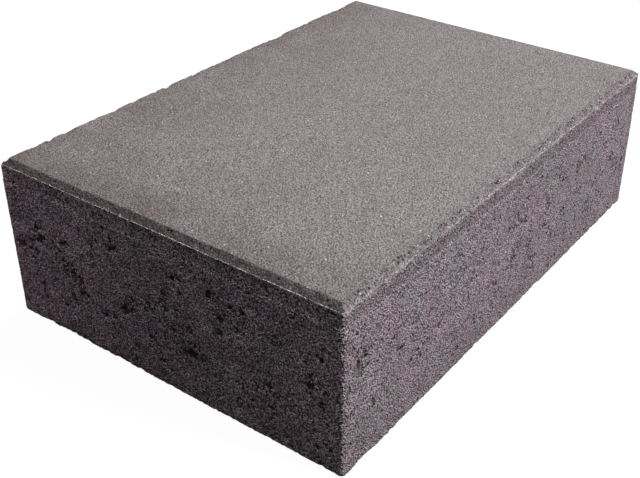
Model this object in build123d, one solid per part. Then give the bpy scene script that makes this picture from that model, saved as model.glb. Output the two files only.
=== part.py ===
from build123d import *
import os
from math import atan2, degrees

# Concrete block step: one block of vibrated concrete, pressed in a steel mould under a profiled head.
# X runs along the step, Y from the riser to the back and Z up. The origin is the middle of the bed face.
# All sizes are in millimetres.

# Standard format of the step
LENGTH = 500.0
GOING = 350.0
RISE = 150.0

# Upright corners, as rounded by the mould box
CORNER_RADIUS = 4.0

# Tread edge, as pressed by the head: a sloping chamfer that ends on a narrow flat lip
CHAMFER_RUN = 5.0
CHAMFER_DROP = 4.5
LIP_WIDTH = 1.0

# Band of fine facing mix round the top: it stands back a little, and a short shoulder leads out of it
FACING_HEIGHT = 13.0
FACING_SETBACK = 0.5
SHOULDER_HEIGHT = 2.0

# Bottom edges, dulled on the production board
BED_ARRIS_RADIUS = 1.5

# Levels and insets that follow from the sizes above
LIP_LEVEL = RISE - CHAMFER_DROP
FACING_LEVEL = LIP_LEVEL - FACING_HEIGHT
SHOULDER_LEVEL = FACING_LEVEL - SHOULDER_HEIGHT
CHAMFER_INSET = FACING_SETBACK + LIP_WIDTH


def mould_plan(inset):
    """Plan of the block, drawn in from the mould box; its rounded corners stay concentric."""
    length = LENGTH - 2 * inset
    going = GOING - 2 * inset
    radius = CORNER_RADIUS - inset
    if radius <= 0:
        return Rectangle(length, going)
    return RectangleRounded(length, going, radius)


def layer(plan, bottom, top, draw_in=0.0):
    """Layer of the block between two levels, its sides drawn in evenly from bottom to top."""
    slope = degrees(atan2(draw_in, top - bottom))
    return extrude(Plane.XY.offset(bottom) * plan, amount=top - bottom, taper=slope)


def core():
    """Core concrete, from the bed face up to the foot of the shoulder, with a dulled bottom edge."""
    body = layer(mould_plan(0), 0, SHOULDER_LEVEL)
    bed_edges = body.edges().group_by(Axis.Z)[0]
    return fillet(bed_edges, BED_ARRIS_RADIUS)


def shoulder():
    """Short slope from the full size of the core in to the facing band."""
    return layer(mould_plan(0), SHOULDER_LEVEL, FACING_LEVEL, draw_in=FACING_SETBACK)


def facing_band():
    """Fine concrete between the shoulder and the lip."""
    return layer(mould_plan(FACING_SETBACK), FACING_LEVEL, LIP_LEVEL)


def tread():
    """Tread slab: four chamfer slopes that meet in mitres, trimmed by the rounded upright corners."""
    foot = Rectangle(LENGTH - 2 * CHAMFER_INSET, GOING - 2 * CHAMFER_INSET)
    mitred = layer(foot, LIP_LEVEL, RISE, draw_in=CHAMFER_RUN)
    return mitred & layer(mould_plan(CHAMFER_INSET), LIP_LEVEL, RISE)


def block_step():
    """The whole block, cast as one piece."""
    return core() + shoulder() + facing_band() + tread()


os.makedirs("parts", exist_ok=True)
export_step(block_step(), "parts/block_step.step")
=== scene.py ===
"""Concrete block step: the worked surface of the cast block, its finish, and the studio that shows it.

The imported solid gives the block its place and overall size. Here a finely meshed copy of the same form
takes its place: the relief of pressed and stripped concrete is worked into it, and it is dressed.
"""

import logging
import math
from dataclasses import dataclass
from enum import Enum
from functools import partial, reduce
from typing import Any, NamedTuple

import bpy
import numpy as np
from mathutils import Matrix, Vector


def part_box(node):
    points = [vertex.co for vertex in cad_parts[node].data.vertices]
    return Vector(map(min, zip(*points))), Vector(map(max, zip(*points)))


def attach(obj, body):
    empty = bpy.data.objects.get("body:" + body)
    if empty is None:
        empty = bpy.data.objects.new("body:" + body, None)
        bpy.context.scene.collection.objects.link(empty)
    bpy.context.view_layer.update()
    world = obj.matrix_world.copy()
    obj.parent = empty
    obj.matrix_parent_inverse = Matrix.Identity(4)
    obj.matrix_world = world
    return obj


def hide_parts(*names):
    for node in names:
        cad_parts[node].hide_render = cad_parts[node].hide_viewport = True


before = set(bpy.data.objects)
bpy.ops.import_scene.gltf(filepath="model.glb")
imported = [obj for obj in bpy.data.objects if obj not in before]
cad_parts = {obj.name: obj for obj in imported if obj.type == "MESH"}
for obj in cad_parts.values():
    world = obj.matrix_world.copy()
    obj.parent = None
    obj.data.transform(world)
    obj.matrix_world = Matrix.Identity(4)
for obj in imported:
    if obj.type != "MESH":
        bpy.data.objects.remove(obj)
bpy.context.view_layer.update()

MM = 0.001
BLOCK_NODE = "block_step"
BODY = "root"
PHOTO_WIDTH_PX = 640
PHOTO_HEIGHT_PX = 478
WHITE = "#ffffff"

# Greatest distance between points of the block's skin
MESH_PITCH = 1.25 * MM

Socket = bpy.types.NodeSocket
log = logging.getLogger("block_step")


def linear_colour(sheet: str) -> tuple[float, float, float, float]:
    """Turns an sRGB hex colour into the linear colour that a shader takes.

    Args:
        sheet: Colour as #RRGGBB.

    Returns:
        Linear red, green and blue, and an alpha of 1.
    """
    channels = [int(sheet[i:i + 2], 16) / 255 for i in (1, 3, 5)]
    linear = [c / 12.92 if c <= 0.04045 else ((c + 0.055) / 1.055) ** 2.4 for c in channels]
    return (*linear, 1.0)


def direction(azimuth: float, elevation: float) -> Vector:
    """Gives the direction from the block to a place round it.

    Args:
        azimuth: Angle round the block, from the riser's side (-Y) towards +X, in degrees.
        elevation: Angle over the floor, in degrees.

    Returns:
        The direction, one long.
    """
    turn, rise = math.radians(azimuth), math.radians(elevation)
    return Vector((math.sin(turn) * math.cos(rise), -math.cos(turn) * math.cos(rise), math.sin(rise)))


class Node(Enum):
    """Forms of node that the trees use: Blender's name for the type, and the settings that go with it."""

    ADD = ("ShaderNodeMath", {"operation": "ADD"})
    SUBTRACT = ("ShaderNodeMath", {"operation": "SUBTRACT"})
    MULTIPLY = ("ShaderNodeMath", {"operation": "MULTIPLY"})
    DIVIDE = ("ShaderNodeMath", {"operation": "DIVIDE"})
    MULTIPLY_ADD = ("ShaderNodeMath", {"operation": "MULTIPLY_ADD"})
    MINIMUM = ("ShaderNodeMath", {"operation": "MINIMUM"})
    MAXIMUM = ("ShaderNodeMath", {"operation": "MAXIMUM"})
    ABSOLUTE = ("ShaderNodeMath", {"operation": "ABSOLUTE"})
    GREATER_THAN = ("ShaderNodeMath", {"operation": "GREATER_THAN"})
    SQUARE_ROOT = ("ShaderNodeMath", {"operation": "SQRT"})
    POWER = ("ShaderNodeMath", {"operation": "POWER"})
    SUM_OF_VECTORS = ("ShaderNodeVectorMath", {"operation": "ADD"})
    SCALED_VECTOR = ("ShaderNodeVectorMath", {"operation": "SCALE"})
    EASED_RANGE = ("ShaderNodeMapRange", {"interpolation_type": "SMOOTHSTEP"})
    EVEN_RANGE = ("ShaderNodeMapRange", {"interpolation_type": "LINEAR"})
    COLOUR_MIX = ("ShaderNodeMix", {"data_type": "RGBA"})
    SEEDED_NOISE = ("ShaderNodeTexNoise", {"noise_dimensions": "4D"})
    GRAIN_CELLS = ("ShaderNodeTexVoronoi", {})
    STORE_VALUE = ("GeometryNodeStoreNamedAttribute", {"data_type": "FLOAT", "domain": "POINT"})
    READ_VALUE = ("GeometryNodeInputNamedAttribute", {"data_type": "FLOAT"})


# Numbers of a colour mix's two colours, because their names stand for other inputs too
FIRST_COLOUR = 6
SECOND_COLOUR = 7


def add_node(
    tree: bpy.types.NodeTree,
    kind: Node | str,
    *values: Any,
    named: dict[str | int, Any] | None = None,
    **settings: Any,
) -> Socket | None:
    """Adds a node to a tree, with its settings and its links.

    Args:
        tree: Tree that the node goes in.
        kind: The node's form, or Blender's name for its type.
        values: Value or output socket for each of the first inputs, in their order.
        named: Value or output socket for other inputs, by the input's name or number.
        settings: Properties of the node, by name.

    Returns:
        The node's first output in use, or None if it has no output. Its node is the socket's node.
    """
    type_name, fixed = kind.value if isinstance(kind, Node) else (kind, {})
    node = tree.nodes.new(type_name)
    for name, value in {**fixed, **settings}.items():
        setattr(node, name, value)
    for key, value in {**dict(enumerate(values)), **(named or {})}.items():
        if isinstance(value, Socket):
            tree.links.new(value, node.inputs[key])
        else:
            node.inputs[key].default_value = value
    return next((socket for socket in node.outputs if socket.enabled), None)


class Ramp(NamedTuple):
    """Change of a value: from bottom where another value is low, to top where that is high."""

    low: float
    high: float
    bottom: float = 0.0
    top: float = 1.0


class Zone(Enum):
    """Stretches of the block's surface, each made by another part of the mould."""

    TREAD = "tread"
    CHAMFER = "chamfer"
    LIP = "lip"
    BURR = "burr"
    BAND = "band"
    SHOULDER = "shoulder"
    CORE = "core"
    BED_EDGE = "bed_edge"
    BED = "bed"


@dataclass(frozen=True)
class ZoneTexture:
    """How open, worn and burred a zone is, how much of it is fine facing mix, and how light it is.

    All but the tone go from 0 to 1. The tone is a share of the mix's own.
    """

    openness: float
    facing: float = 0.0
    tone: float = 1.0
    wear: float = 0.0
    burr: float = 0.0


# A chamfer's facing and tone come from the kind of face that it borders, as FaceTexture gives them
ZONE_TEXTURES = {
    Zone.TREAD: ZoneTexture(openness=0.08, facing=1.0),
    Zone.CHAMFER: ZoneTexture(openness=0.15, wear=0.03),
    # The lip's and the burr's tone of 1.1 is a painted highlight, and their burr value sets a painted
    # highlight on the crest as well as the burr's height
    Zone.LIP: ZoneTexture(openness=0.30, facing=0.9, tone=1.1, wear=0.15, burr=0.5),
    Zone.BURR: ZoneTexture(openness=0.20, facing=0.9, tone=1.1, wear=0.15, burr=1.0),
    Zone.BAND: ZoneTexture(openness=0.50, tone=0.78, wear=0.10),
    # The shoulder's tone of 1.08 is painted light on the ledge, which faces a little upward
    Zone.SHOULDER: ZoneTexture(openness=0.50, tone=1.08),
    Zone.CORE: ZoneTexture(openness=1.0),
    Zone.BED_EDGE: ZoneTexture(openness=0.8),
    Zone.BED: ZoneTexture(openness=0.5, wear=0.2),
}


@dataclass(frozen=True)
class FaceTexture:
    """What differs along the tread's edge between an end and a long side.

    The burr is a share of the zone's own. The chamfer has its own tone and its own share of facing mix.
    """

    burr: float
    chamfer_tone: float
    chamfer_facing: float


# The darker chamfer tone on an end is painted shade, and the paler one on a side is painted light
END_TEXTURE = FaceTexture(burr=0.6, chamfer_tone=0.5254, chamfer_facing=0.85)
SIDE_TEXTURE = FaceTexture(burr=0.2, chamfer_tone=0.6745, chamfer_facing=0.6)


class Edge(Enum):
    """Edges of the block that lose crumbs when it is stripped and stacked."""

    UPRIGHT = "upright"
    BED = "bed"
    BACK_TOP = "back_top"
    LEFT_BACK_CORNER = "left_back_corner"


@dataclass(frozen=True)
class NearEdge:
    """How strong something is right at an edge, and how far from the edge it ends, in metres."""

    amount: float
    reach: float

    def at(self, away: np.ndarray) -> np.ndarray:
        """Gives its strength at points that lie so far away from the edge."""
        return self.amount * np.clip(1 - away / self.reach, 0, 1)


# Wear of each edge, where 1 is the relief's whole wear depth
EDGE_WEAR = {
    Edge.UPRIGHT: NearEdge(amount=0.15, reach=8.0 * MM),
    Edge.BED: NearEdge(amount=0.8, reach=5.0 * MM),
    Edge.BACK_TOP: NearEdge(amount=1.9, reach=12.0 * MM),
    Edge.LEFT_BACK_CORNER: NearEdge(amount=3.0, reach=13.0 * MM),
}

# The mould box's rounded upright corners leave the skin less open, by this share
CORNER_CALM = NearEdge(amount=0.7, reach=11.0 * MM)


@dataclass(frozen=True)
class ProfileRow:
    """One ring round the block, and the zone that ends at it.

    The inset is how far it stands in from the mould box, and the trim radius rounds its corners.
    """

    inset: float
    level: float
    zone: Zone
    trim_radius: float


@dataclass(frozen=True)
class BlockForm:
    """Form of the block, in metres, with the same edge sizes as the solid.

    The corner zone is the square at each corner where the flat grids turn to follow its round. The crisp
    width is that of the narrow strips that keep an edge sharp. The burr inset is how far the burr's crest
    lies in from the facing band.
    """

    length: float
    going: float
    rise: float
    corner_radius: float = 4.0 * MM
    chamfer_run: float = 5.0 * MM
    chamfer_drop: float = 4.5 * MM
    lip_width: float = 1.0 * MM
    facing_height: float = 13.0 * MM
    facing_setback: float = 0.5 * MM
    shoulder_height: float = 2.0 * MM
    bed_arris_radius: float = 1.5 * MM
    corner_zone: float = 12.0 * MM
    crisp_width: float = 0.25 * MM
    burr_inset: float = 0.6 * MM

    @property
    def chamfer_inset(self) -> float:
        """Inset of the chamfer's foot."""
        return self.facing_setback + self.lip_width

    @property
    def tread_inset(self) -> float:
        """Inset of the tread's edge, where the chamfer starts."""
        return self.chamfer_inset + self.chamfer_run

    @property
    def lip_level(self) -> float:
        """Height of the lip over the bed."""
        return self.rise - self.chamfer_drop

    @property
    def band_foot(self) -> float:
        """Height of the facing band's lower edge over the bed."""
        return self.lip_level - self.facing_height

    def rows(self, pitch: float) -> list[ProfileRow]:
        """Lists the rings from the tread's edge down to the bed's edge.

        Args:
            pitch: Greatest distance between two rings.

        Returns:
            The rings, from the top down.
        """
        core_top = self.band_foot - self.shoulder_height
        crown_trim = self.corner_radius - self.chamfer_inset
        crisp = self.crisp_width
        crisp_drop = crisp * self.chamfer_drop / self.chamfer_run
        stops = [
            (Zone.TREAD, self.tread_inset, self.rise),
            (Zone.CHAMFER, self.tread_inset - crisp, self.rise - crisp_drop),
            (Zone.CHAMFER, self.chamfer_inset, self.lip_level),
            (Zone.BURR, self.facing_setback + self.burr_inset, self.lip_level),
            (Zone.LIP, self.facing_setback, self.lip_level),
            (Zone.BAND, self.facing_setback, self.lip_level - crisp),
            (Zone.BAND, self.facing_setback, self.band_foot),
            (Zone.SHOULDER, 0.0, core_top),
            (Zone.CORE, 0.0, self.bed_arris_radius),
        ]
        rows = [ProfileRow(self.tread_inset, self.rise, Zone.TREAD, crown_trim)]
        for (_, inset0, level0), (zone, inset1, level1) in zip(stops, stops[1:]):
            steps = max(1, math.ceil(math.hypot(inset1 - inset0, level1 - level0) / pitch))
            for k in range(1, steps + 1):
                inset = inset0 + (inset1 - inset0) * k / steps
                level = level0 + (level1 - level0) * k / steps
                trim = crown_trim if zone is Zone.CHAMFER else self.corner_radius - inset
                rows.append(ProfileRow(inset, level, zone, trim))
        steps = max(2, math.ceil(self.bed_arris_radius * math.pi / 2 / pitch))
        for k in range(1, steps + 1):
            angle = math.pi / 2 * k / steps
            inset = self.bed_arris_radius * (1 - math.cos(angle))
            level = self.bed_arris_radius * (1 - math.sin(angle))
            rows.append(ProfileRow(inset, level, Zone.BED_EDGE, self.corner_radius - inset))
        return rows

    def reach(self, angles: np.ndarray, inset: float, trim_radius: float) -> np.ndarray:
        """Gives how far a ring lies from the pole of its corner zone, in each direction.

        Args:
            angles: Directions from one side's normal (0) to the next side's (a quarter turn).
            inset: How far the ring stands in from the mould box.
            trim_radius: Radius that rounds the corner, about the mould corner's own centre.

        Returns:
            The distances, in metres.
        """
        flat = (self.corner_zone - inset) / np.maximum(np.cos(angles), np.sin(angles))
        across = flat * np.minimum(np.cos(angles), np.sin(angles))
        centre = self.corner_zone - self.corner_radius
        along = centre * (np.cos(angles) + np.sin(angles))
        under_root = along ** 2 - 2 * centre ** 2 + trim_radius ** 2
        rounded = along + np.sqrt(np.maximum(under_root, 0.0))
        is_round = (across > centre) & (under_root > 0) & (trim_radius > 0)
        return np.where(is_round, np.minimum(flat, rounded), flat)


class FineSkin:
    """Closed, evenly fine mesh of the block's form, which the relief is worked into."""

    OUTLINE_SAMPLES = 400

    def __init__(self, form: BlockForm, pitch: float) -> None:
        """Takes the form and the mesh pitch.

        Args:
            form: The block's form.
            pitch: Greatest distance between neighbouring points.
        """
        self.form = form
        self.pitch = pitch
        self.rows = form.rows(pitch)
        self.corner_angles = self._corner_angles()
        self.corner_steps = len(self.corner_angles) - 1
        self.points: list[np.ndarray] = []
        self.count = 0

    def _corner_angles(self) -> np.ndarray:
        """Spreads directions evenly along the mould box's outline, from a side's normal to the mitre.

        Returns:
            The directions' angles, in radians.
        """
        fine = np.linspace(0, math.pi / 4, self.OUTLINE_SAMPLES)
        reach = self.form.reach(fine, 0.0, self.form.corner_radius)
        outline = np.stack([reach * np.sin(fine), reach * np.cos(fine)], axis=1)
        travel = np.concatenate([[0], np.cumsum(np.linalg.norm(np.diff(outline, axis=0), axis=1))])
        steps = math.ceil(travel[-1] / self.pitch)
        return np.interp(np.linspace(0, travel[-1], steps + 1), travel, fine)

    def _side(self, half_width: float, half_depth: float, row: ProfileRow) -> tuple[np.ndarray, np.ndarray]:
        """Places one side of a ring, from mitre to mitre.

        Args:
            half_width: Half of the block's size along the side.
            half_depth: Half of the block's size across it.
            row: The ring.

        Returns:
            Distances along the side and outward from the block's middle.
        """
        form = self.form
        pole = half_width - form.corner_zone
        reach = form.reach(self.corner_angles, row.inset, row.trim_radius)
        along_corner = reach * np.sin(self.corner_angles)
        out_corner = half_depth - form.corner_zone + reach * np.cos(self.corner_angles)
        steps = math.ceil(2 * pole / self.pitch)
        straight = np.linspace(-pole, pole, steps + 1)[1:-1]
        along = np.concatenate([-pole - along_corner[::-1], straight, pole + along_corner])
        out = np.concatenate([out_corner[::-1], np.full(len(straight), half_depth - row.inset), out_corner])
        return along, out

    def _ring(self, row: ProfileRow) -> np.ndarray:
        """Places a ring, from the front left mitre and anticlockwise seen from above.

        Args:
            row: The ring.

        Returns:
            Its points, one per line.
        """
        half_x = self.form.length / 2
        half_y = self.form.going / 2
        along_x, out_y = self._side(half_x, half_y, row)
        along_y, out_x = self._side(half_y, half_x, row)
        sides = [(along_x, -out_y), (out_x, along_y), (-along_x, out_y), (-out_x, -along_y)]
        x = np.concatenate([side[0][:-1] for side in sides])
        y = np.concatenate([side[1][:-1] for side in sides])
        return np.stack([x, y, np.full(len(x), row.level)], axis=1)

    def _lines(self, half_width: float, inset: float) -> tuple[np.ndarray, np.ndarray]:
        """Gives the grid lines of a flat face along one axis.

        Args:
            half_width: Half of the block's size along the axis.
            inset: How far the face's edge stands in from the mould box.

        Returns:
            The lines' places, and how far each lies into its corner zone, from 0 to 1.
        """
        pole = half_width - self.form.corner_zone
        depth = np.tan(self.corner_angles)
        steps = math.ceil(2 * pole / self.pitch)
        straight = np.linspace(-pole, pole, steps + 1)[1:-1]
        side = self.form.corner_zone - inset
        places = np.concatenate([-pole - side * depth[::-1], straight, pole + side * depth])
        return places, np.concatenate([-depth[::-1], np.zeros(len(straight)), depth])

    def _add(self, points: np.ndarray) -> np.ndarray:
        """Stores points.

        Args:
            points: The points, one per line.

        Returns:
            Their numbers.
        """
        numbers = np.arange(self.count, self.count + len(points))
        self.points.append(points)
        self.count += len(points)
        return numbers

    def _flat(self, row: ProfileRow, ring: np.ndarray) -> np.ndarray:
        """Fills a ring with a grid that meets it point for point.

        Args:
            row: The ring's place in the profile.
            ring: Numbers of the ring's points.

        Returns:
            Numbers of the grid's points, by line along Y and along X.
        """
        form = self.form
        xs, into_x = self._lines(form.length / 2, row.inset)
        ys, into_y = self._lines(form.going / 2, row.inset)
        x, y = np.meshgrid(xs, ys)
        s, t = np.meshgrid(np.abs(into_x), np.abs(into_y))
        in_corner = (s > 0) & (t > 0)
        angle = np.arctan2(s[in_corner], t[in_corner])
        share = np.maximum(s[in_corner], t[in_corner])
        radius = form.reach(angle, row.inset, row.trim_radius) * share
        sign_x, sign_y = np.sign(x[in_corner]), np.sign(y[in_corner])
        x[in_corner] = sign_x * (form.length / 2 - form.corner_zone + radius * np.sin(angle))
        y[in_corner] = sign_y * (form.going / 2 - form.corner_zone + radius * np.cos(angle))
        grid = np.full(x.shape, -1)
        last_x, last_y = len(xs) - 1, len(ys) - 1
        grid[0, :] = ring[:last_x + 1]
        grid[:, last_x] = ring[last_x:last_x + last_y + 1]
        grid[last_y, ::-1] = ring[last_x + last_y:2 * last_x + last_y + 1]
        grid[:0:-1, 0] = ring[2 * last_x + last_y:]
        level = np.full((last_y - 1, last_x - 1), row.level)
        inner = np.stack([x[1:-1, 1:-1], y[1:-1, 1:-1], level], axis=-1)
        grid[1:-1, 1:-1] = self._add(inner.reshape(-1, 3)).reshape(level.shape)
        return grid

    def build(self, name: str) -> bpy.types.Object:
        """Builds the mesh, with each point's texture values in its attributes.

        Args:
            name: Name of the new object.

        Returns:
            The object, linked to the scene.
        """
        rings = [self._add(self._ring(row)) for row in self.rows]
        tread = self._flat(self.rows[0], rings[0])
        bed = self._flat(self.rows[-1], rings[-1])
        quads = []
        for upper, lower in zip(rings, rings[1:]):
            quads.append(np.stack([upper, lower, np.roll(lower, -1), np.roll(upper, -1)], axis=1))
        upward = np.stack([tread[:-1, :-1], tread[:-1, 1:], tread[1:, 1:], tread[1:, :-1]], axis=-1)
        downward = np.stack([bed[:-1, :-1], bed[1:, :-1], bed[1:, 1:], bed[:-1, 1:]], axis=-1)
        faces = np.concatenate([*quads, upward.reshape(-1, 4), downward.reshape(-1, 4)])
        points = np.concatenate(self.points)
        mesh = bpy.data.meshes.new(name)
        mesh.vertices.add(len(points))
        mesh.vertices.foreach_set("co", points.ravel())
        mesh.loops.add(faces.size)
        mesh.loops.foreach_set("vertex_index", faces.ravel())
        mesh.polygons.add(len(faces))
        mesh.polygons.foreach_set("loop_start", np.arange(0, faces.size, 4))
        mesh.update(calc_edges=True)
        self._store_textures(mesh, rings, points)
        skin = bpy.data.objects.new(name, mesh)
        bpy.context.scene.collection.objects.link(skin)
        return skin

    def _store_textures(self, mesh: bpy.types.Mesh, rings: list[np.ndarray], points: np.ndarray) -> None:
        """Writes each point's texture values, as its zone, its face and the edges near it give them.

        Args:
            mesh: The mesh.
            rings: Numbers of each ring's points.
            points: The mesh's points.
        """
        order = list(ZONE_TEXTURES)
        inner_size = (self.count - len(rings[0]) * len(rings)) // 2
        stretches = [(row.zone, len(rings[0])) for row in self.rows]
        stretches += [(Zone.TREAD, inner_size), (Zone.BED, inner_size)]
        zones = np.concatenate([np.full(size, order.index(zone)) for zone, size in stretches])
        values = {
            name: np.array([getattr(ZONE_TEXTURES[zone], name) for zone in order])[zones]
            for name in ("openness", "facing", "tone", "wear", "burr")
        }
        on_ends = self._on_ends(points)
        own = {
            name: np.where(on_ends, getattr(END_TEXTURE, name), getattr(SIDE_TEXTURE, name))
            for name in ("burr", "chamfer_tone", "chamfer_facing")
        }
        on_chamfer = zones == order.index(Zone.CHAMFER)
        to_end, to_side = self._to_mould_box(points)
        values["openness"] *= 1 - CORNER_CALM.at(np.hypot(to_end, to_side))
        values["facing"] = np.where(on_chamfer, own["chamfer_facing"], values["facing"])
        values["tone"] = np.where(on_chamfer, own["chamfer_tone"], values["tone"])
        values["wear"] = np.maximum(values["wear"], self._edge_wear(points))
        values["burr"] *= own["burr"]
        for name, value in values.items():
            layer = mesh.attributes.new(name, "FLOAT", "POINT")
            layer.data.foreach_set("value", value.astype(np.float32))

    def _to_mould_box(self, points: np.ndarray) -> tuple[np.ndarray, np.ndarray]:
        """Gives how far points lie in from the mould box.

        Args:
            points: The mesh's points.

        Returns:
            Their distances from the nearer end and from the nearer long side.
        """
        return self.form.length / 2 - np.abs(points[:, 0]), self.form.going / 2 - np.abs(points[:, 1])

    def _on_ends(self, points: np.ndarray) -> np.ndarray:
        """Tells which points lie nearer to an end of the block than to one of its long sides.

        Args:
            points: The mesh's points.

        Returns:
            True for each point nearer to an end.
        """
        to_end, to_side = self._to_mould_box(points)
        return to_end < to_side

    def _edge_wear(self, points: np.ndarray) -> np.ndarray:
        """Gives the wear that the block's edges add, by each point's distance from them.

        Args:
            points: The mesh's points.

        Returns:
            The wear of each point, 0 away from the edges.
        """
        form = self.form
        to_end, to_side = self._to_mould_box(points)
        to_back = form.going / 2 - points[:, 1]
        to_left = form.length / 2 + points[:, 0]
        level = points[:, 2]
        below_tread = level - form.rise
        to_back_top = np.hypot(to_back - form.chamfer_inset, below_tread)
        away = {
            Edge.UPRIGHT: np.where(level < form.band_foot, np.hypot(to_end, to_side), np.inf),
            Edge.BED: np.hypot(np.minimum(to_end, to_side), level),
            Edge.BACK_TOP: np.where(to_end > 2 * form.corner_zone, to_back_top, np.inf),
            Edge.LEFT_BACK_CORNER: np.hypot(np.hypot(to_left, to_back), below_tread),
        }
        return np.max([wear.at(away[edge]) for edge, wear in EDGE_WEAR.items()], axis=0)


@dataclass(frozen=True)
class ReliefNoise:
    """One noise of the relief, and how it rises.

    The span names the tree's input that says how wide its lumps are. The shift sets it apart from the others.
    """

    span: str
    shift: float
    detail: float
    rise: Ramp


RELIEF_NOISES = {
    "waves": ReliefNoise("Wave Span", shift=0.0, detail=2.0, rise=Ramp(0.35, 0.68)),
    "crumbs": ReliefNoise("Crumb Span", shift=3.1, detail=3.0, rise=Ramp(0.46, 0.66)),
    "tears": ReliefNoise("Tear Span", shift=5.7, detail=3.0, rise=Ramp(0.62, 0.72)),
    "clusters": ReliefNoise("Cluster Span", shift=9.3, detail=2.0, rise=Ramp(0.46, 0.64)),
    "wear": ReliefNoise("Wear Span", shift=12.9, detail=4.0, rise=Ramp(0.46, 0.72)),
    "burr": ReliefNoise("Burr Span", shift=17.3, detail=2.0, rise=Ramp(0.36, 0.60)),
    "patches": ReliefNoise("Cluster Span", shift=21.1, detail=1.0, rise=Ramp(0.30, 0.55)),
}


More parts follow.
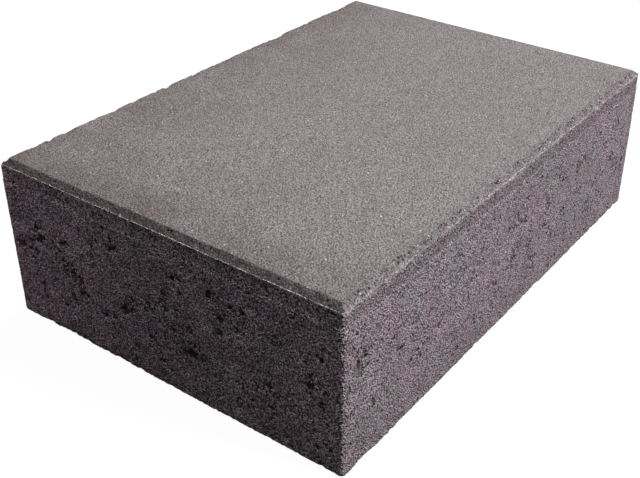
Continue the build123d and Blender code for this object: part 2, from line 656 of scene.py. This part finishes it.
@dataclass(frozen=True)
class Relief:
    """Relief of the pressed and stripped surface, in metres: what the mould left flat and what it tore.

    Torn pits gather in clusters. Those are fullest half way up the sides, where they have risen both over the
    bed and under the tread, and keep a share of their strength elsewhere. The burr keeps the same share
    between its patches.
    """

    wave_depth: float = 0.5 * MM
    wave_span: float = 45.0 * MM
    crumb_depth: float = 0.55 * MM
    crumb_span: float = 3.2 * MM
    tear_depth: float = 1.3 * MM
    tear_span: float = 6.0 * MM
    cluster_span: float = 22.0 * MM
    burr_height: float = 1.0 * MM
    burr_span: float = 2.2 * MM
    wear_depth: float = 2.0 * MM
    wear_span: float = 12.0 * MM
    seed: int = 7
    noise_roughness: float = 0.55
    over_bed: Ramp = Ramp(8.0 * MM, 50.0 * MM)
    under_tread: Ramp = Ramp(128.0 * MM, 90.0 * MM)
    kept_share: float = 0.4
    tear_lean: float = 0.10
    # The crumbs' share of the hollows' darkening, which is partly real dirt and partly painted shade
    crumb_dirt_and_shade: float = 0.25

    def inputs(self) -> dict[str, float]:
        """Names the tree's inputs with this relief's sizes."""
        return {
            "Wave Depth": self.wave_depth,
            "Wave Span": self.wave_span,
            "Crumb Depth": self.crumb_depth,
            "Crumb Span": self.crumb_span,
            "Tear Depth": self.tear_depth,
            "Tear Span": self.tear_span,
            "Cluster Span": self.cluster_span,
            "Burr Height": self.burr_height,
            "Burr Span": self.burr_span,
            "Wear Depth": self.wear_depth,
            "Wear Span": self.wear_span,
            "Seed": float(self.seed),
        }

    def tree(self) -> bpy.types.NodeTree:
        """Builds the node tree that works the relief into a skin.

        Returns:
            The tree. Its inputs are the skin, the sizes by name and the finish.
        """
        tree = bpy.data.node_groups.new("Concrete Relief", "GeometryNodeTree")
        tree.interface.new_socket("Geometry", in_out="INPUT", socket_type="NodeSocketGeometry")
        for name in self.inputs():
            tree.interface.new_socket(name, in_out="INPUT", socket_type="NodeSocketFloat")
        tree.interface.new_socket("Finish", in_out="INPUT", socket_type="NodeSocketMaterial")
        tree.interface.new_socket("Geometry", in_out="OUTPUT", socket_type="NodeSocketGeometry")
        add = partial(add_node, tree)
        group = add("NodeGroupInput").node.outputs
        place = add("GeometryNodeInputPosition")
        openness, worn, burred = (add(Node.READ_VALUE, name) for name in ("openness", "wear", "burr"))

        noises = {}
        for name, noise in RELIEF_NOISES.items():
            scale = add(Node.DIVIDE, 1.0, group[noise.span])
            seed = add(Node.ADD, group["Seed"], noise.shift)
            noises[name] = add(Node.SEEDED_NOISE, place, seed, scale, noise.detail, self.noise_roughness)
        lumps = {
            name: add(Node.EASED_RANGE, noises[name], *noise.rise)
            for name, noise in RELIEF_NOISES.items() if name != "tears"
        }

        # Clusters are fuller half way up the side, and the core tears open where they are
        level = add("ShaderNodeSeparateXYZ", place).node.outputs["Z"]
        over_bed = add(Node.EASED_RANGE, level, *self.over_bed)
        middle = add(Node.MULTIPLY, over_bed, add(Node.EASED_RANGE, level, *self.under_tread))
        middle = add(Node.ADD, add(Node.MULTIPLY, middle, 1.0 - self.kept_share), self.kept_share)
        cluster = add(Node.MULTIPLY, lumps["clusters"], middle)
        torn = add(Node.ADD, noises["tears"], add(Node.MULTIPLY, cluster, self.tear_lean))
        tears = add(Node.EASED_RANGE, torn, *RELIEF_NOISES["tears"].rise)

        # Depth of the relief, along the skin's normal
        waves = add(Node.MULTIPLY, lumps["waves"], group["Wave Depth"])
        crumb_pits = add(Node.MULTIPLY, lumps["crumbs"], group["Crumb Depth"])
        pits = add(Node.ADD, crumb_pits, add(Node.MULTIPLY, tears, group["Tear Depth"]))
        wear = add(Node.MULTIPLY, lumps["wear"], group["Wear Depth"])
        depth = add(Node.MULTIPLY, add(Node.ADD, waves, pits), openness)
        depth = add(Node.ADD, depth, add(Node.MULTIPLY, wear, worn))
        inward = add(Node.SCALED_VECTOR, add("GeometryNodeInputNormal"),
                     named={"Scale": add(Node.MULTIPLY, depth, -1.0)})

        # Height of the burr, straight up
        patches = add(Node.ADD, add(Node.MULTIPLY, lumps["patches"], 1.0 - self.kept_share), self.kept_share)
        crest = add(Node.MULTIPLY, add(Node.MULTIPLY, lumps["burr"], burred), patches)
        crest = add(Node.MULTIPLY, crest, group["Burr Height"])
        upward = add("ShaderNodeCombineXYZ", named={"Z": crest})
        offset = add(Node.SUM_OF_VECTORS, inward, upward)

        # The finish darkens the hollows, partly as real dirt and partly as painted shade, and gathers pores
        # in the clusters
        hollow_dirt_and_shade = add(Node.ADD, add(Node.MULTIPLY, lumps["crumbs"], self.crumb_dirt_and_shade), tears)
        shape = group["Geometry"]
        for name, value in (("hollow_dirt_and_shade", hollow_dirt_and_shade), ("cluster", cluster)):
            stored = add(Node.MULTIPLY, value, openness)
            shape = add(Node.STORE_VALUE, named={"Geometry": shape, "Name": name, "Value": stored})
        shape = add("GeometryNodeSetPosition", named={"Geometry": shape, "Offset": offset})
        shape = add("GeometryNodeRealizeInstances", shape)
        shape = add("GeometryNodeSetMaterial", named={"Geometry": shape, "Material": group["Finish"]})
        add("NodeGroupOutput", shape)
        return tree


@dataclass(frozen=True)
class ByFace:
    """A value for the long sides, one for the ends and, where it differs there, one for the tread."""

    side: float
    end: float
    tread: float | None = None


@dataclass(frozen=True)
class Lumps:
    """Pattern of soft lumps: how wide they are, in metres, its detail, its own shift, and how it rises."""

    span: float
    detail: float
    shift: float
    rise: Ramp
    kind: Node = Node.EASED_RANGE


@dataclass(frozen=True)
class Spots:
    """Pattern of round spots, at most one to each grain cell.

    The spacing is in metres. The rim goes from where a spot starts to where it is full, as shares of the
    spacing from its middle. Each cell draws a number from 0 to 1, and the choice goes from a draw that gives
    no spot to one that gives a full spot.
    """

    spacing: float
    rim: Ramp
    choice: Ramp


class SkinPatterns:
    """What the finish is drawn with: a point's place, texture values and kind of face, and the patterns."""

    NOISE_ROUGHNESS = 0.6

    def __init__(self, tree: bpy.types.NodeTree, form: BlockForm) -> None:
        """Adds the nodes that the patterns read.

        Args:
            tree: The material's tree.
            form: The block's form.
        """
        self.add = partial(add_node, tree)
        self.place = self.add("ShaderNodeTexCoord").node.outputs["Object"]
        self.across = self.add("ShaderNodeSeparateXYZ", self.place).node.outputs
        self.texture = {
            name: self.add("ShaderNodeAttribute", attribute_name=name).node.outputs["Fac"]
            for name in ("facing", "openness", "tone", "burr", "hollow_dirt_and_shade", "cluster")
        }
        to_end = self.add(Node.SUBTRACT, form.length / 2, self.add(Node.ABSOLUTE, self.across["X"]))
        to_side = self.add(Node.SUBTRACT, form.going / 2, self.add(Node.ABSOLUTE, self.across["Y"]))
        self.to_mould_box = self.add(Node.MINIMUM, to_end, to_side)
        self.end_face = self.add(Node.GREATER_THAN, to_side, to_end)

    def by_face(self, values: ByFace) -> Socket:
        """Gives a value by the kind of face.

        Args:
            values: The values.

        Returns:
            The value of the point's own face. On a chamfer it lies between the tread's and the other one.
        """
        value = self.add(Node.EASED_RANGE, self.end_face, *Ramp(0.0, 1.0, values.side, values.end))
        if values.tread is None:
            return value
        return self.add(Node.EASED_RANGE, self.texture["facing"], 0.0, 1.0, value, values.tread)

    def lumps(self, pattern: Lumps) -> Socket:
        """Draws soft lumps.

        Args:
            pattern: The pattern.

        Returns:
            Its value at each point.
        """
        noise = self.add(Node.SEEDED_NOISE, self.place, pattern.shift, 1 / pattern.span, pattern.detail,
                         self.NOISE_ROUGHNESS)
        return self.add(pattern.kind, noise, *pattern.rise)

    def spots(self, pattern: Spots, lean: Socket | None = None) -> Socket:
        """Draws round spots.

        Args:
            pattern: The pattern.
            lean: What is added to a cell's draw, for more spots in some places.

        Returns:
            1 on a spot, 0 off it.
        """
        cells = self.add(Node.GRAIN_CELLS, named={"Vector": self.place, "Scale": 1 / pattern.spacing})
        draw = self.add("ShaderNodeSeparateColor", cells.node.outputs["Color"])
        if lean is not None:
            draw = self.add(Node.ADD, draw, lean)
        disc = self.add(Node.EASED_RANGE, cells, *pattern.rim)
        return self.add(Node.MULTIPLY, disc, self.add(Node.EASED_RANGE, draw, *pattern.choice))

    def chain(self, kind: Node, *values: Socket) -> Socket:
        """Joins values with one form of node, each with the result so far."""
        return reduce(partial(self.add, kind), values)


@dataclass(frozen=True)
class VibratedConcrete:
    """Vibrated semi-dry concrete, pressed under a steel head and stripped from the mould at once.

    The head closes the fine facing mix on the tread to an even matt grey with small pores and a few pale
    grains. The mould box tears the coarser, slightly purple core mix on the sides, so they look open.
    Sizes are in metres, and spreads of tone in stops.
    """

    tread_grey: str = "#8e8889"
    tread_warm: str = "#847979"
    core_neutral: str = "#968b90"
    core_purple: str = "#a08893"
    pore: str = "#1c1617"
    pale_grain: str = "#ded8d2"
    roughness: float = 0.92
    index_of_refraction: float = 1.5
    specular_level: float = 0.02

    # Purple patches of the core mix, and warm patches of the tread towards its back and its left end
    purple_patches: Lumps = Lumps(32.0 * MM, detail=3.0, shift=1.0, rise=Ramp(0.40, 0.60))
    purple_share: ByFace = ByFace(side=0.3, end=0.8)
    warm_patches: Lumps = Lumps(40.0 * MM, detail=2.0, shift=2.0, rise=Ramp(0.35, 0.62, 0.3, 1.0))
    warm_back: Ramp = Ramp(30.0 * MM, 172.0 * MM)
    warm_left: Ramp = Ramp(-90.0 * MM, -240.0 * MM)
    warm_left_back: Ramp = Ramp(-160.0 * MM, 20.0 * MM, 0.4, 1.0)

    # The core mix is paler and redder towards the back of an end
    back_end: Ramp = Ramp(0.0, 160.0 * MM)
    back_end_core: Ramp = Ramp(0.1, 0.0)
    back_end_gain: float = 0.25

    # Crease along the top of the chamfer, where the fine mix lies darker and has more pores
    crease_from_tread: float = 1.5 * MM
    crease_reach: float = 3.5 * MM
    crease_patches: Lumps = Lumps(14.0 * MM, detail=2.0, shift=12.0, rise=Ramp(0.3, 0.55))
    crease_share: ByFace = ByFace(side=1.1, end=0.4)
    crease_loss: float = 0.2

    # Painted light and shadow just below the lip: a strip is paler on the long sides, where the lip catches
    # the light, and darker on the ends, in the burr's shadow
    lip_shading_foot: Ramp = Ramp(-6.0 * MM, -1.5 * MM)
    lip_shading_over_lip: ByFace = ByFace(side=0.8 * MM, end=-0.8 * MM)
    lip_shading_fade: float = 0.8 * MM
    lip_shading_patches: Lumps = Lumps(26.0 * MM, detail=1.0, shift=31.0, rise=Ramp(0.35, 0.65, 0.4, 1.6))
    lip_shading_gain: ByFace = ByFace(side=0.21, end=-0.19)

    # Most sand grains are under half a millimetre wide, too fine to show in the render, so they and the gaps
    # between them are drawn as coarse as they need to show. The wider spread on an end is painted shade, for
    # the small shadows that grazing light casts among the grains there. No grain is much paler than the paste
    # round it, so the pale side of each spread is capped.
    sand_width: float = 0.85 * MM
    sand_middle: float = 0.667
    sand_spread: ByFace = ByFace(side=3.6, end=7.4, tread=1.6)
    gap_width: float = 1.5 * MM
    gap_middle: float = 0.5
    gap_spread: ByFace = ByFace(side=3.0, end=4.8, tread=1.1)
    pale_cap: ByFace = ByFace(side=0.12, end=0.12, tread=0.5)
    mean_stops: ByFace = ByFace(side=0.10, end=0.02, tread=-0.07)

    # Broad lumps of lighter and darker mix
    tone_lumps: tuple[Lumps, ...] = (
        Lumps(36.0 * MM, detail=2.5, shift=3.0, rise=Ramp(0.29, 0.71, -0.5, 0.5), kind=Node.EVEN_RANGE),
        Lumps(11.0 * MM, detail=2.5, shift=4.0, rise=Ramp(0.29, 0.71, -0.5, 0.5), kind=Node.EVEN_RANGE),
    )
    lump_spread: ByFace = ByFace(side=0.28, end=0.55, tread=0.12)

    # The burr's crest carries a painted highlight in places, the foot of the sides is darker, and so is the
    # tread by the left end
    burr_highlight: Lumps = Lumps(2.4 * MM, detail=2.0, shift=23.0, rise=Ramp(0.42, 0.60, 0.3, 2.8))
    foot: Ramp = Ramp(0.0, 50.0 * MM, 0.92, 1.0)
    left_rim: Ramp = Ramp(-190.0 * MM, -235.0 * MM)
    left_rim_facing: Ramp = Ramp(0.7, 0.95)
    left_rim_loss: float = 0.14

    # Most pores and pale grains are under a millimetre wide, too fine to show in the render, so they are
    # drawn 1 to 2 mm wide. The wide pores gather where the core is torn and along the crease.
    fine_pores: Spots = Spots(2.3 * MM, rim=Ramp(0.35, 0.27), choice=Ramp(0.68, 0.72))
    fine_pores_by_facing: Ramp = Ramp(0.5, 1.0, 1.0, 0.55)
    wide_pores: Spots = Spots(3.1 * MM, rim=Ramp(0.38, 0.30), choice=Ramp(1.0, 1.06))
    wide_pores_lean: float = 0.75
    pore_strength: float = 0.9
    pale_grains: Spots = Spots(5.5 * MM, rim=Ramp(0.15, 0.10), choice=Ramp(0.70, 0.76))
    pale_grain_strength: float = 0.8

    # Torn hollows are darkened, partly as real dirt and partly as painted shade, and the fine relief is
    # deeper where the skin is open
    dirt_and_shade_rise: Ramp = Ramp(0.1, 0.8)
    dirt_and_shade_share: ByFace = ByFace(side=0.45, end=0.75)
    pore_depth: float = 0.35
    closed_openness: float = 0.1
    closed_depth: float = 1.0 * MM
    open_openness: float = 0.6
    open_depth: ByFace = ByFace(side=2.0 * MM, end=2.6 * MM)

    def material(self, form: BlockForm) -> bpy.types.Material:
        """Builds the material.

        Args:
            form: The block's form, whose edges place some of the patterns.

        Returns:
            The material, on Object coordinates and the skin's attributes.
        """
        material = bpy.data.materials.new("vibrated_concrete")
        material.use_nodes = True
        tree = material.node_tree
        tree.nodes.clear()
        skin = SkinPatterns(tree, form)
        add = skin.add
        gaps = add(Node.GRAIN_CELLS, named={"Vector": skin.place, "Scale": 1 / self.gap_width})
        back_end = skin.chain(
            Node.MULTIPLY,
            skin.end_face,
            add(Node.EASED_RANGE, skin.across["Y"], *self.back_end),
            add(Node.EASED_RANGE, skin.texture["facing"], *self.back_end_core),
        )
        crease = self._crease(skin, form)
        pores = self._pores(skin, crease)
        tone = self._tone(skin, self._grain_stops(skin, gaps), crease, self._lip_shading(skin, form), back_end)
        colour = add(Node.SCALED_VECTOR, self._mix_colour(skin, back_end), named={"Scale": tone})
        hollow_dirt_and_shade = add(Node.EASED_RANGE, skin.texture["hollow_dirt_and_shade"], *self.dirt_and_shade_rise)
        # Pores and pale grains are the mix's own; the hollows' darkening is partly real dirt and partly
        # painted shade
        marks = (
            (pores, self.pore_strength, self.pore),
            (skin.spots(self.pale_grains), self.pale_grain_strength, self.pale_grain),
            (hollow_dirt_and_shade, skin.by_face(self.dirt_and_shade_share), self.pore),
        )
        for mark, strength, mark_colour in marks:
            colour = add(Node.COLOUR_MIX, add(Node.MULTIPLY, mark, strength), named={
                FIRST_COLOUR: colour,
                SECOND_COLOUR: linear_colour(mark_colour),
            })
        # The gaps and the pores lie deeper than the grains
        lowered = add(Node.MULTIPLY, pores, self.pore_depth)
        height = add(Node.SUBTRACT, add(Node.MULTIPLY, gaps, -1.0), lowered)
        depth = add(Node.EASED_RANGE, skin.texture["openness"], self.closed_openness, self.open_openness,
                    self.closed_depth, skin.by_face(self.open_depth))
        surface = add("ShaderNodeBsdfPrincipled", named={
            "Base Color": colour,
            "Roughness": self.roughness,
            "IOR": self.index_of_refraction,
            "Specular IOR Level": self.specular_level,
            "Normal": add("ShaderNodeBump", named={"Distance": depth, "Height": height}),
        })
        add("ShaderNodeOutputMaterial", named={"Surface": surface})
        return material

    def _mix_colour(self, skin: SkinPatterns, back_end: Socket) -> Socket:
        """Draws the colours of the core mix and of the tread.

        Args:
            skin: What the finish is drawn with.
            back_end: Where the core is paler and redder.

        Returns:
            The colour, at the mix's own tone.
        """
        add = skin.add
        purple = add(Node.MULTIPLY, skin.lumps(self.purple_patches), skin.by_face(self.purple_share))
        purple = add(Node.MAXIMUM, purple, back_end)
        core = add(Node.COLOUR_MIX, purple, named={
            FIRST_COLOUR: linear_colour(self.core_neutral),
            SECOND_COLOUR: linear_colour(self.core_purple),
        })
        warm_left = add(
            Node.MULTIPLY,
            add(Node.EASED_RANGE, skin.across["X"], *self.warm_left),
            add(Node.EASED_RANGE, skin.across["Y"], *self.warm_left_back),
        )
        warm_back = add(Node.EASED_RANGE, skin.across["Y"], *self.warm_back)
        warm_place = add(Node.MAXIMUM, warm_back, warm_left)
        warm = add(Node.MULTIPLY, skin.lumps(self.warm_patches), warm_place)
        tread = add(Node.COLOUR_MIX, warm, named={
            FIRST_COLOUR: linear_colour(self.tread_grey),
            SECOND_COLOUR: linear_colour(self.tread_warm),
        })
        return add(Node.COLOUR_MIX, skin.texture["facing"], named={FIRST_COLOUR: core, SECOND_COLOUR: tread})

    def _crease(self, skin: SkinPatterns, form: BlockForm) -> Socket:
        """Draws the crease along the top of the chamfer.

        Args:
            skin: What the finish is drawn with.
            form: The block's form.

        Returns:
            How strong the crease is.
        """
        add = skin.add
        to_crease = add(Node.SUBTRACT, skin.to_mould_box, form.tread_inset - self.crease_from_tread)
        near = add(Node.EASED_RANGE, add(Node.ABSOLUTE, to_crease), self.crease_reach, 0.0)
        patches = skin.lumps(self.crease_patches)
        share = skin.by_face(self.crease_share)
        return skin.chain(Node.MULTIPLY, near, skin.texture["facing"], patches, share)

    def _lip_shading(self, skin: SkinPatterns, form: BlockForm) -> Socket:
        """Draws the painted light and shadow below the lip.

        Args:
            skin: What the finish is drawn with.
            form: The block's form.

        Returns:
            How much paler the painted light makes the mix, less than 0 where the painted shadow makes it
            darker.
        """
        add = skin.add
        over_lip = add(Node.SUBTRACT, skin.across["Z"], form.lip_level)
        foot = add(Node.EASED_RANGE, over_lip, *self.lip_shading_foot)
        to_top = add(Node.SUBTRACT, skin.by_face(self.lip_shading_over_lip), over_lip)
        top = add(Node.EASED_RANGE, to_top, 0.0, self.lip_shading_fade)
        gain = skin.by_face(self.lip_shading_gain)
        return skin.chain(Node.MULTIPLY, foot, top, skin.lumps(self.lip_shading_patches), gain)

    def _grain_stops(self, skin: SkinPatterns, gaps: Socket) -> Socket:
        """Draws how sand grains, the gaps between them and broad lumps change the tone.

        Args:
            skin: What the finish is drawn with.
            gaps: Distance from the nearest grain's middle, 0 in the middle and greatest in the gaps.

        Returns:
            The change, in stops.
        """
        add = skin.add
        cap = skin.by_face(self.pale_cap)
        cells = add(Node.GRAIN_CELLS, named={"Vector": skin.place, "Scale": 1 / self.sand_width})
        draw = add("ShaderNodeSeparateColor", cells.node.outputs["Color"])
        sand = add(Node.SUBTRACT, add(Node.SQUARE_ROOT, draw), self.sand_middle)
        gap = add(Node.SUBTRACT, self.gap_middle, gaps)
        stops = skin.by_face(self.mean_stops)
        for value, spread in ((sand, self.sand_spread), (gap, self.gap_spread)):
            stops = add(Node.MULTIPLY_ADD, add(Node.MINIMUM, value, cap), skin.by_face(spread), stops)
        lump_spread = skin.by_face(self.lump_spread)
        for pattern in self.tone_lumps:
            stops = add(Node.MULTIPLY_ADD, skin.lumps(pattern), lump_spread, stops)
        return stops

    def _tone(
        self, skin: SkinPatterns, stops: Socket, crease: Socket, lip_shading: Socket, back_end: Socket,
    ) -> Socket:
        """Joins all that makes the mix lighter or darker.

        Args:
            skin: What the finish is drawn with.
            stops: Change of tone by the grain, in stops.
            crease: How strong the crease is.
            lip_shading: How much paler the painted light below the lip makes the mix, less than 0 where its
                painted shadow makes it darker.
            back_end: Where the core is paler and redder.

        Returns:
            The tone, as a share of the mix's own.
        """
        add = skin.add
        # Painted highlight along the burr's crest
        burr = add(Node.MULTIPLY, skin.texture["burr"], skin.lumps(self.burr_highlight))
        left_rim = add(
            Node.MULTIPLY,
            add(Node.EASED_RANGE, skin.across["X"], *self.left_rim),
            add(Node.EASED_RANGE, skin.texture["facing"], *self.left_rim_facing),
        )
        return skin.chain(
            Node.MULTIPLY,
            add(Node.POWER, 2.0, stops),
            skin.texture["tone"],
            add(Node.ADD, burr, 1.0),
            add(Node.MULTIPLY_ADD, crease, -self.crease_loss, 1.0),
            add(Node.EASED_RANGE, skin.across["Z"], *self.foot),
            # Painted light and shadow below the lip
            add(Node.ADD, lip_shading, 1.0),
            add(Node.MULTIPLY_ADD, left_rim, -self.left_rim_loss, 1.0),
            add(Node.MULTIPLY_ADD, back_end, self.back_end_gain, 1.0),
        )

    def _pores(self, skin: SkinPatterns, crease: Socket) -> Socket:
        """Draws the pores.

        Args:
            skin: What the finish is drawn with.
            crease: How strong the crease is.

        Returns:
            1 in a pore, 0 off it.
        """
        add = skin.add
        by_facing = add(Node.EASED_RANGE, skin.texture["facing"], *self.fine_pores_by_facing)
        fine = add(Node.MULTIPLY, skin.spots(self.fine_pores), by_facing)
        gathered = add(Node.MAXIMUM, skin.texture["cluster"], crease)
        wide = skin.spots(self.wide_pores, lean=add(Node.MULTIPLY, gathered, self.wide_pores_lean))
        return add(Node.MAXIMUM, fine, wide)


@dataclass(frozen=True)
class BlockStep:
    """The block: one casting, dressed as one closed piece.

    The pitch is the greatest distance between the skin's points. Edges sharper than the sharp angle, in
    degrees, are shaded as edges.
    """

    form: BlockForm
    relief: Relief
    finish: VibratedConcrete
    pitch: float
    most_triangles: int = 196_000
    sharp_angle: float = 36.0

    def build(self) -> bpy.types.Object:
        """Builds the dressed block.

        Returns:
            The finished object, with a plain mesh.
        """
        skin = FineSkin(self.form, self.pitch).build("fine_skin")
        self._add_relief(skin)
        triangles = 2 * len(skin.data.polygons)
        if triangles > self.most_triangles:
            thinning = skin.modifiers.new("Thinning", "DECIMATE")
            thinning.ratio = self.most_triangles / triangles
        depsgraph = bpy.context.evaluated_depsgraph_get()
        mesh = bpy.data.meshes.new_from_object(skin.evaluated_get(depsgraph), depsgraph=depsgraph)
        mesh.name = "cast_block"
        bpy.data.objects.remove(skin)
        block = bpy.data.objects.new("cast_block", mesh)
        bpy.context.scene.collection.objects.link(block)
        self._keep_inside(mesh)
        mesh.shade_smooth()
        mesh.set_sharp_from_angle(angle=math.radians(self.sharp_angle))
        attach(block, BODY)
        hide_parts(BLOCK_NODE)
        return block

    def _add_relief(self, skin: bpy.types.Object) -> None:
        """Puts the relief and the finish on the skin.

        Args:
            skin: The fine skin.
        """
        tree = self.relief.tree()
        modifier = skin.modifiers.new("Relief", "NODES")
        modifier.node_group = tree
        values = {**self.relief.inputs(), "Finish": self.finish.material(self.form)}
        for item in tree.interface.items_tree:
            if item.in_out == "INPUT" and item.name in values:
                modifier[item.identifier] = values[item.name]

    def _keep_inside(self, mesh: bpy.types.Mesh) -> None:
        """Moves back the points that thinning has pushed out of the block's box.

        Args:
            mesh: The finished mesh.
        """
        points = np.empty(3 * len(mesh.vertices))
        mesh.vertices.foreach_get("co", points)
        points = points.reshape(-1, 3)
        half = np.array([self.form.length / 2, self.form.going / 2])
        points[:, :2] = np.clip(points[:, :2], -half, half)
        points[:, 2] = np.clip(points[:, 2], 0.0, self.form.rise)
        mesh.vertices.foreach_set("co", points.ravel())
        mesh.update()


@dataclass(frozen=True)
class PhotoCamera:
    """Camera at the photograph's viewing angle, in the block's frame.

    The place and the clip end are in metres, the angles are in degrees, and the focal length and the
    principal point are in pixels of the photograph.
    """

    place: tuple[float, float, float] = (-680.7 * MM, -485.7 * MM, 540.1 * MM)
    azimuth: float = -55.219
    elevation: float = 30.307
    roll: float = 0.985
    focal_px: float = 1017.0
    principal_x_px: float = 361.0
    principal_y_px: float = 204.0
    sensor_width_mm: float = 36.0
    clip_end: float = 50.0

    def build(self) -> bpy.types.Object:
        """Builds the camera and makes it the scene's.

        Returns:
            The camera.
        """
        back = direction(self.azimuth, self.elevation)
        roll = math.radians(self.roll)
        level_right = Vector((0, 0, 1)).cross(back).normalized()
        level_up = back.cross(level_right)
        right = level_right * math.cos(roll) + level_up * math.sin(roll)
        up = level_up * math.cos(roll) - level_right * math.sin(roll)
        data = bpy.data.cameras.new("photo_camera")
        data.sensor_width = self.sensor_width_mm
        data.lens = self.focal_px * self.sensor_width_mm / PHOTO_WIDTH_PX
        data.shift_x = (PHOTO_WIDTH_PX / 2 - self.principal_x_px) / PHOTO_WIDTH_PX
        data.shift_y = (self.principal_y_px - PHOTO_HEIGHT_PX / 2) / PHOTO_WIDTH_PX
        data.clip_end = self.clip_end
        camera = bpy.data.objects.new("photo_camera", data)
        camera.matrix_world = Matrix((
            (right.x, up.x, back.x, self.place[0]),
            (right.y, up.y, back.y, self.place[1]),
            (right.z, up.z, back.z, self.place[2]),
            (0, 0, 0, 1),
        ))
        bpy.context.scene.collection.objects.link(camera)
        bpy.context.scene.camera = camera
        return camera


@dataclass(frozen=True)
class SoftLamp:
    """Square area lamp that shines at the block's middle.

    Its angles are in degrees, and its distance and size are in metres.
    """

    name: str
    azimuth: float
    elevation: float
    distance: float
    size: float
    watts: float

    def build(self, target: Vector) -> bpy.types.Object:
        """Builds the lamp.

        Args:
            target: Point that the lamp faces.

        Returns:
            The lamp.
        """
        towards = direction(self.azimuth, self.elevation)
        data = bpy.data.lights.new(self.name, "AREA")
        data.size = self.size
        data.energy = self.watts
        lamp = bpy.data.objects.new(self.name, data)
        lamp.location = target + towards * self.distance
        lamp.rotation_euler = towards.to_track_quat("Z", "Y").to_euler()
        bpy.context.scene.collection.objects.link(lamp)
        return lamp


@dataclass(frozen=True)
class Studio:
    """Plain pale floor, soft lamps and a dim, even surround.

    The floor's size is in metres. Its glow is seen by the camera and doesn't light the block.
    """

    floor_size: float = 12.0
    floor_grey: str = "#606060"
    floor_glow: float = 0.93
    surround_strength: float = 0.055
    lamps: tuple[SoftLamp, ...] = (
        SoftLamp("key_lamp", azimuth=15.0, elevation=28.0, distance=2.8, size=1.0, watts=78.5),
        SoftLamp("overhead_lamp", azimuth=-75.0, elevation=74.0, distance=2.2, size=0.7, watts=20.5),
        SoftLamp("rear_lamp", azimuth=98.0, elevation=48.0, distance=2.2, size=1.0, watts=20.0),
    )

    def build(self, target: Vector) -> None:
        """Builds the floor, the lamps and the surround.

        Args:
            target: Point that the lamps face.
        """
        half = self.floor_size / 2
        mesh = bpy.data.meshes.new("studio_floor")
        corners = [(-half, -half, 0), (half, -half, 0), (half, half, 0), (-half, half, 0)]
        mesh.from_pydata(corners, [], [(0, 1, 2, 3)])
        floor = bpy.data.objects.new("studio_floor", mesh)
        bpy.context.scene.collection.objects.link(floor)
        mesh.materials.append(self._floor_material())
        for lamp in self.lamps:
            lamp.build(target)
        self._surround()

    def _seen_directly(self, tree: bpy.types.NodeTree) -> Socket:
        """Adds a value that is 1 for the camera, for reflections and through glass.

        Args:
            tree: Tree that the nodes go in.

        Returns:
            The value.
        """
        rays = add_node(tree, "ShaderNodeLightPath").node.outputs
        seen = rays["Is Camera Ray"]
        for ray in ("Is Glossy Ray", "Is Transmission Ray"):
            seen = add_node(tree, Node.MAXIMUM, seen, rays[ray])
        return seen

    def _floor_material(self) -> bpy.types.Material:
        """Builds matt paper that looks white and still takes the block's shadow.

        Returns:
            The material.
        """
        material = bpy.data.materials.new("white_paper_floor")
        material.use_nodes = True
        tree = material.node_tree
        tree.nodes.clear()
        paper = add_node(tree, "ShaderNodeBsdfDiffuse", linear_colour(self.floor_grey))
        glow = add_node(tree, "ShaderNodeEmission", linear_colour(WHITE), self.floor_glow)
        lit = add_node(tree, "ShaderNodeAddShader", paper, glow)
        surface = add_node(tree, "ShaderNodeMixShader", self._seen_directly(tree), paper, lit)
        add_node(tree, "ShaderNodeOutputMaterial", named={"Surface": surface})
        return material

    def _surround(self) -> None:
        """Sets the world: white where it is seen, dim where it lights."""
        world = bpy.data.worlds.new("studio_surround")
        world.use_nodes = True
        tree = world.node_tree
        tree.nodes.clear()
        seen = self._seen_directly(tree)
        strength = add_node(tree, Node.EVEN_RANGE, seen, *Ramp(0.0, 1.0, self.surround_strength, 1.0))
        light = add_node(tree, "ShaderNodeBackground", linear_colour(WHITE), strength)
        add_node(tree, "ShaderNodeOutputWorld", named={"Surface": light})
        bpy.context.scene.world = world


def main() -> None:
    """Builds the block, the studio and the camera, and reports each piece."""
    logging.basicConfig(level=logging.INFO, format="%(name)s: %(message)s")
    bpy.context.scene.view_settings.view_transform = "Standard"
    low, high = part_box(BLOCK_NODE)
    form = BlockForm(length=high[0] - low[0], going=high[1] - low[1], rise=high[2] - low[2])
    PhotoCamera().build()
    pitch = MESH_PITCH
    block = BlockStep(form, Relief(), VibratedConcrete(), pitch).build()
    log.info("%s: %d points, %d faces", block.name, len(block.data.vertices), len(block.data.polygons))
    Studio().build(Vector((0, 0, form.rise / 2)))


if __name__ == "__main__":
    main()
